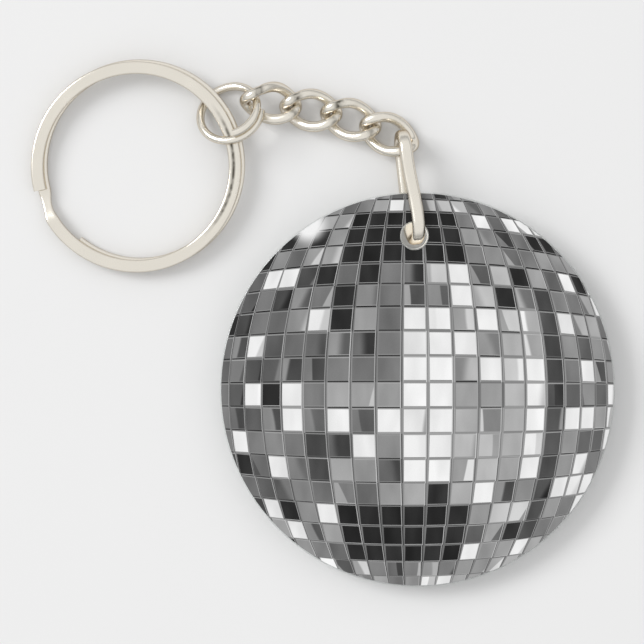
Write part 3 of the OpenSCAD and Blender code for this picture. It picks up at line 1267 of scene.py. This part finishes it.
    def trim(self, mesh: bpy.types.Mesh, radius: float, hole: Vector, hole_r: float) -> None:
        """Cuts the sheet to the charm's round outline and cuts out the hole.

        Args:
            mesh: The sheet.
            radius: The radius of the outline.
            hole: The middle of the hole.
            hole_r: The radius of the hole.
        """
        sheet = bmesh.new()
        sheet.from_mesh(mesh)
        outside = [f for f in sheet.faces if min(v.co.xy.length for v in f.verts) > radius * 1.01]
        bmesh.ops.delete(sheet, geom=outside, context="FACES")
        sides = 180
        for i in range(sides):
            turn = 2 * math.pi * i / sides
            way = Vector((math.cos(turn), math.sin(turn), 0.0))
            near = [f for f in sheet.faces if max(v.co.dot(way) for v in f.verts) > radius - 1e-7]
            if near:
                cut(sheet, near, way * radius, way, True)
        sides = 36
        for i in range(sides):
            turn = 2 * math.pi * i / sides
            way = Vector((math.cos(turn), math.sin(turn), 0.0))
            middle = hole + way * hole_r
            near = [f for f in sheet.faces if (f.calc_center_median().xy - middle.xy).length < 1.6 * MM]
            cut(sheet, near, middle, way, False)
        inside = [
            f for f in sheet.faces if (f.calc_center_median().xy - hole.xy).length < hole_r * 0.999
        ]
        bmesh.ops.delete(sheet, geom=inside, context="FACES")
        bmesh.ops.dissolve_degenerate(sheet, dist=1e-7, edges=sheet.edges[:])
        sheet.to_mesh(mesh)
        sheet.free()


def cut(sheet: bmesh.types.BMesh, faces: list, at: Vector, way: Vector, clear: bool) -> None:
    """Cuts some faces of a sheet along a plane.

    Args:
        sheet: The sheet.
        faces: The faces that the plane may cut.
        at: A point of the plane.
        way: The plane's direction.
        clear: Whether what lies beyond the plane is taken away.
    """
    edges = {e for f in faces for e in f.edges}
    corners = {v for f in faces for v in f.verts}
    bmesh.ops.bisect_plane(
        sheet, geom=[*faces, *edges, *corners], dist=1e-8, plane_co=at, plane_no=way, clear_outer=clear
    )


@dataclass
class Charm:
    """The drilled acrylic disc with white ink and the picture on its face."""

    print_thick: float = 0.05 * MM
    print_margin: float = 0.15 * MM
    bond: float = 0.004 * MM
    hole_x: float = -0.4 * MM
    hole_y: float = 19.8 * MM
    hole_r: float = 1.7 * MM
    tilt: float = 1.5
    bevel: float = 0.12 * MM
    picture: TilePicture = field(default_factory=TilePicture)

    def __post_init__(self) -> None:
        """Works out the charm's radius, thickness and place from the CAD disc."""
        low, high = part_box("acrylic_disc")
        lean = math.radians(self.tilt)
        self.radius = (high[0] - low[0]) / 2
        self.thick = (high[2] - low[2] - 2 * self.radius * math.sin(lean)) / math.cos(lean)
        self.middle = Vector(((high[0] + low[0]) / 2, high[1] - self.radius * math.cos(lean), 0.0))

    def placing(self) -> Matrix:
        """Gives the matrix that takes the charm from its own frame to where it lies."""
        reach = self.radius * math.cos(math.radians(self.tilt))
        down = Matrix.Translation(self.middle - Vector((0, reach, 0)))
        lean = Matrix.Rotation(math.radians(self.tilt), 4, "X")
        return down @ lean @ Matrix.Translation((0, self.radius, 0))

    def plate(self, name: str, low: float, high: float, inset: float, bevel: float) -> bpy.types.Object:
        """Makes a drilled round plate as a flat curve with rounded edges.

        Args:
            name: The piece's name.
            low: The height of its underside.
            high: The height of its top.
            inset: How far its edges are set back.
            bevel: The radius of its rounded edges.

        Returns:
            The plate, in place.
        """
        curve = bpy.data.curves.new(name, "CURVE")
        curve.dimensions = "2D"
        curve.fill_mode = "BOTH"
        rounds = (
            (Vector((0, 0, 0)), self.radius - inset, 256),
            (Vector((self.hole_x, self.hole_y, 0)), self.hole_r + inset, 72),
        )
        for centre, radius, sides in rounds:
            line = curve.splines.new("POLY")
            line.points.add(sides - 1)
            line.use_cyclic_u = True
            for i, point in enumerate(line.points):
                turn = 2 * math.pi * i / sides
                point.co = (*(centre + radius * Vector((math.cos(turn), math.sin(turn), 0))), 1.0)
        curve.extrude = (high - low) / 2 - bevel
        curve.bevel_depth = bevel
        curve.bevel_resolution = 2
        curve.offset = -bevel
        maker = bpy.data.objects.new(name + "_outline", curve)
        bpy.context.scene.collection.objects.link(maker)
        bpy.context.view_layer.update()
        graph = bpy.context.evaluated_depsgraph_get()
        mesh = bpy.data.meshes.new_from_object(maker.evaluated_get(graph), depsgraph=graph)
        bpy.data.objects.remove(maker)
        mesh.name = name
        mesh.transform(Matrix.Translation((0, 0, (low + high) / 2)))
        mesh.transform(self.placing())
        solid = bmesh.new()
        solid.from_mesh(mesh)
        bmesh.ops.remove_doubles(solid, verts=solid.verts[:], dist=0.001 * MM)
        bmesh.ops.recalc_face_normals(solid, faces=solid.faces[:])
        solid.to_mesh(mesh)
        solid.free()
        mesh.shade_smooth()
        mesh.set_sharp_from_angle(angle=math.radians(35))
        return link_object(name, mesh)

    def build_picture(self) -> None:
        """Lays the picture on the white ink, trimmed round its edge and round the hole."""
        place = self.placing()
        corner = place @ Vector((-14.0 * MM, 21.2 * MM, self.thick))
        finish = PictureInkFinish(corner=tuple(corner)).make()
        piece = self.picture.sheet(finish)
        radius = self.radius - self.print_margin
        hole = Vector((self.hole_x, self.hole_y, 0))
        self.picture.trim(piece.data, radius, hole, self.hole_r + self.print_margin)
        wall = piece.modifiers.new("thickness", "SOLIDIFY")
        wall.thickness = self.picture.body
        wall.offset = -1.0
        flatten_tree(piece)
        top = self.thick + 2 * self.print_thick - self.picture.relief
        piece.data.transform(place @ Matrix.Translation((0, 0, top)))
        hand_over(piece, "charm", "picture_print")

    def build(self) -> None:
        """Makes the disc, the white ink and the picture."""
        disc = self.plate("clear_disc", 0, self.thick, 0, self.bevel)
        disc.data.materials.append(AcrylicFinish().make())
        disc.data.materials.append(DrilledWallFinish().make())
        back = self.placing().inverted()
        for part in disc.data.polygons:
            away = (back @ part.center).xy - Vector((self.hole_x, self.hole_y))
            part.material_index = int(away.length < self.hole_r + self.bevel and abs(part.normal.z) < 0.4)
        hand_over(disc, "charm", "acrylic_disc")
        top = self.thick + self.print_thick
        white = self.plate("white_ink_layer", self.thick - self.bond, top, self.print_margin, 0.01 * MM)
        white.data.materials.append(WhiteInkFinish().make())
        hand_over(white, "charm", "white_base_print")
        self.build_picture()


# ---- Studio ----


@dataclass
class Studio:
    """The pale table, the soft light and the camera straight above."""

    view_width: float = 83.2 * MM
    look_at: tuple[float, float] = (-0.05 * MM, 0.02 * MM)
    lens: float = 200.0
    focus_height: float = 2.0 * MM
    table_size: float = 3.0
    key_power: float = 19.4
    fill: float = 1.0

    def lay_table(self) -> None:
        """Lays the table's surface at the height that the key ring rests on."""
        half = self.table_size / 2
        mesh = bpy.data.meshes.new("table_top")
        corners = [(-half, -half, 0), (half, -half, 0), (half, half, 0), (-half, half, 0)]
        mesh.from_pydata(corners, [], [(0, 1, 2, 3)])
        mesh.materials.append(TableFinish().make())
        link_object("table_top", mesh)

    def hang_light(self, name: str, place: Vector, size: float, power: float) -> None:
        """Hangs a square soft light that faces the key ring.

        Args:
            name: The light's name.
            place: Where it hangs.
            size: The side of its square.
            power: Its power in watts.
        """
        lamp = bpy.data.lights.new(name, "AREA")
        lamp.shape = "SQUARE"
        lamp.size = size
        lamp.energy = power
        stand = bpy.data.objects.new(name, lamp)
        stand.location = place
        stand.rotation_euler = (-place).to_track_quat("-Z", "Y").to_euler()
        bpy.context.scene.collection.objects.link(stand)

    def light_sky(self) -> None:
        """Makes a sky that is bright overhead and dimmer towards the horizon."""
        world = bpy.data.worlds.new("soft_tent")
        world.use_nodes = True
        desk = NodeDesk(world.node_tree)
        back = world.node_tree.nodes["Background"]
        way = desk.add("ShaderNodeSeparateXYZ", {0: desk.add("ShaderNodeTexCoord").outputs["Generated"]})
        ramp = desk.add(
            "ShaderNodeMapRange",
            {"Value": way.outputs["Z"], "From Min": 0.05, "From Max": 0.6, "To Min": 0.36, "To Max": 0.82},
            interpolation_type="SMOOTHSTEP",
        )
        tone = ramp.outputs[0]
        grey = desk.add("ShaderNodeCombineColor", {0: tone, 1: tone, 2: tone})
        desk.feed(back.inputs["Color"], grey.outputs[0])
        back.inputs["Strength"].default_value = self.fill
        bpy.context.scene.world = world

    def set_camera(self) -> None:
        """Sets the camera straight above, far enough for its long lens to take in the view's width."""
        eye = bpy.data.cameras.new("overhead")
        eye.lens = self.lens
        eye.clip_start = 0.01
        eye.clip_end = 10.0
        camera = bpy.data.objects.new("overhead", eye)
        away = self.view_width * self.lens / eye.sensor_width
        camera.location = (*self.look_at, away + self.focus_height)
        bpy.context.scene.collection.objects.link(camera)
        bpy.context.scene.camera = camera

    def build(self) -> None:
        """Makes the table, the lights and the camera."""
        self.set_camera()
        self.lay_table()
        self.light_sky()
        self.hang_light("key_light", Vector((-1.42, 0.66, 1.34)), 0.95, self.key_power)
        bpy.context.scene.view_settings.view_transform = "Standard"


def main() -> None:
    """Builds the studio and every piece."""
    logging.basicConfig(level=logging.INFO, format="%(name)s: %(message)s")
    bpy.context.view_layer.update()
    Studio().build()
    tree = WireTree()
    ring = SplitRing()
    ring.build(tree, NickelFinish("ring_plate", dark_reflection_line=ring.reflection_line()).make())
    plate = NickelFinish("chain_plate").make()
    JumpRing().build(tree, plate)
    links = (
        CurbLink(1, (14.4, 15.5, -6.7)),
        CurbLink(2, (7.3, 2.2, -9.0)),
        CurbLink(3, (3.3, 2.3, -17.8)),
        CurbLink(4, (-1.0, -0.5, -23.5), Joining.OPEN_SEAM),
    )
    for link in links:
        link.build(tree, plate)
    ConnectorLoop().build(tree, plate)
    Charm().build()
    LOG.info("sizes written")


if __name__ == "__main__":
    main()
